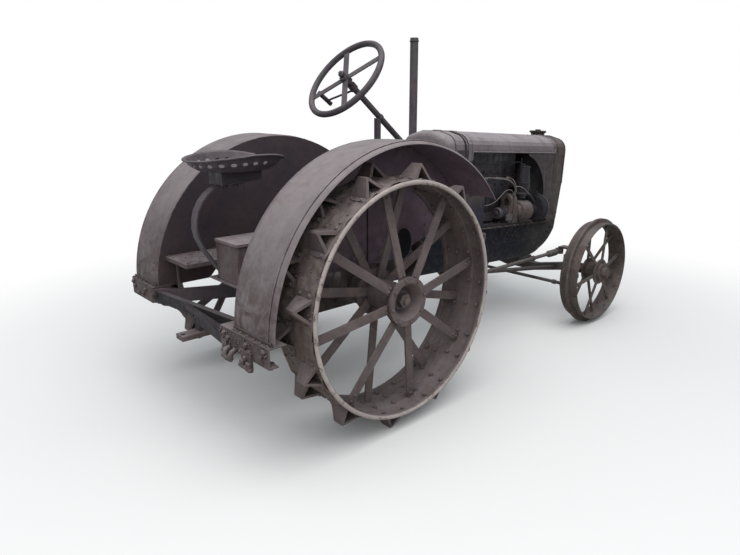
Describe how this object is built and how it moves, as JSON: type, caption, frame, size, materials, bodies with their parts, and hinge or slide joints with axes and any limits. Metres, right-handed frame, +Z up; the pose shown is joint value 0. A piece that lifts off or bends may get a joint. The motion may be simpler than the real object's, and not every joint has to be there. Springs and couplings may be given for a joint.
{
  "type": "vintage farm tractor",
  "caption": "Old standard-tread farm tractor on lugged steel wheels with round fenders, trough plate frame, open engine, pan seat and steered front axle",
  "frame": {"origin": "middle of the bounding box in X and Y, on the ground under the wheels", "axes": "+X forward, +Y to the tractor's left, +Z up"},
  "size_m": [3.529, 1.686, 2.114],
  "materials": {
    "sheet_metal": "weathered dusty taupe paint with rust showing through",
    "iron": "rough brown cast iron with dirt and rust",
    "dark_frame": "dark oily blue-brown plate and forgings",
    "slate_steel": "dark slate-brown weathered steel",
    "rusty_steel": "worn paint, reddish-brown rust",
    "wheel_steel": "brown weathered steel with dried mud",
    "wire": "pale aged cloth-covered wire"
  },
  "bodies": {
    "chassis": {"transmission": "iron", "u_frame": "dark_frame", "engine_block": "dark_frame", "cylinder_head": "dark_frame", "exhaust": "slate_steel", "magneto": "rusty_steel", "drive_housing": "iron", "canister": "dark_frame", "ignition_wires": "wire", "radiator": "iron", "radiator_core": "slate_steel", "radiator_cap": "iron", "side_panels": "sheet_metal", "cowl": "sheet_metal", "hood": "sheet_metal", "fuel_tank": "sheet_metal", "fender_right": "sheet_metal", "fender_left": "sheet_metal", "cross_channel": "rusty_steel", "frame_braces": "rusty_steel", "platform": "rusty_steel", "toolbox": "rusty_steel", "seat_spring": "slate_steel", "seat_pan": "slate_steel", "steering_column": "slate_steel", "levers": "slate_steel", "drawbar": "rusty_steel", "front_axle": "dark_frame", "radius_rods": "dark_frame"},
    "toolbox_lid": {"toolbox_lid": "rusty_steel"},
    "steering_wheel": {"steering_wheel": "slate_steel"},
    "pitman_arm": {"pitman_arm": "dark_frame"},
    "drag_link": {"drag_link": "dark_frame"},
    "belt_pulley": {"belt_pulley": "iron"},
    "fan": {"fan": "iron"},
    "rear_wheel_right": {"rear_wheel_right": "wheel_steel"},
    "rear_wheel_left": {"rear_wheel_left": "wheel_steel"},
    "knuckle_right": {"knuckle_right": "dark_frame"},
    "knuckle_left": {"knuckle_left": "dark_frame"},
    "front_wheel_right": {"front_wheel_right": "wheel_steel"},
    "front_wheel_left": {"front_wheel_left": "wheel_steel"},
    "tie_rod": {"tie_rod": "dark_frame"}
  },
  "joints": [
    {"name": "rear_right_spin", "type": "hinge", "parent": "chassis", "child": "rear_wheel_right", "pos_m": [-0.9045, -0.6905, 0.69], "axis": [0, 1, 0], "continuous": true},
    {"name": "rear_left_spin", "type": "hinge", "parent": "chassis", "child": "rear_wheel_left", "pos_m": [-0.9045, 0.6905, 0.69], "axis": [0, 1, 0], "continuous": true},
    {"name": "steer_right", "type": "hinge", "parent": "chassis", "child": "knuckle_right", "pos_m": [1.3535, -0.49, 0.411], "axis": [0, 0, 1], "range_deg": [-28, 28]},
    {"name": "steer_left", "type": "hinge", "parent": "chassis", "child": "knuckle_left", "pos_m": [1.3535, 0.49, 0.411], "axis": [0, 0, 1], "range_deg": [-28, 28]},
    {"name": "front_right_spin", "type": "hinge", "parent": "knuckle_right", "child": "front_wheel_right", "pos_m": [1.3535, -0.65, 0.411], "axis": [0, 1, 0], "continuous": true},
    {"name": "front_left_spin", "type": "hinge", "parent": "knuckle_left", "child": "front_wheel_left", "pos_m": [1.3535, 0.65, 0.411], "axis": [0, 1, 0], "continuous": true},
    {"name": "tie_rod_pivot", "type": "hinge", "parent": "knuckle_right", "child": "tie_rod", "pos_m": [1.1835, -0.49, 0.301], "axis": [0, 0, 1], "range_deg": [-28, 28]},
    {"name": "drag_link_pivot", "type": "hinge", "parent": "knuckle_right", "child": "drag_link", "pos_m": [1.3535, -0.34, 0.516], "axis": [0, 0, 1], "range_deg": [-28, 28]},
    {"name": "pitman_swing", "type": "hinge", "parent": "chassis", "child": "pitman_arm", "pos_m": [0.1705, -0.285, 0.915], "axis": [0, 1, 0], "range_deg": [-11, 11]},
    {"name": "steering_wheel_turn", "type": "hinge", "parent": "chassis", "child": "steering_wheel", "pos_m": [-0.7835, -0.196, 1.789], "axis": [0.7804, 0, -0.6252], "range_deg": [-280, 280]},
    {"name": "belt_pulley_spin", "type": "hinge", "parent": "chassis", "child": "belt_pulley", "pos_m": [-0.4645, -0.345, 0.77], "axis": [0, 1, 0], "continuous": true},
    {"name": "fan_spin", "type": "hinge", "parent": "chassis", "child": "fan", "pos_m": [1.056, 0, 1.072], "axis": [0.9986, 0, -0.0523], "continuous": true},
    {"name": "toolbox_lid_hinge", "type": "hinge", "parent": "chassis", "child": "toolbox_lid", "pos_m": [-1.3915, -0.045, 0.982], "axis": [-1, 0, 0], "range_deg": [0, 90]}
  ],
  "couplings": [
    {"joint": "steer_left", "follows": "steer_right", "ratio": 1},
    {"joint": "tie_rod_pivot", "follows": "steer_right", "ratio": -1},
    {"joint": "drag_link_pivot", "follows": "steer_right", "ratio": -1},
    {"joint": "pitman_swing", "follows": "steer_right", "ratio": 0.376},
    {"joint": "steering_wheel_turn", "follows": "steer_right", "ratio": -10}
  ]
}
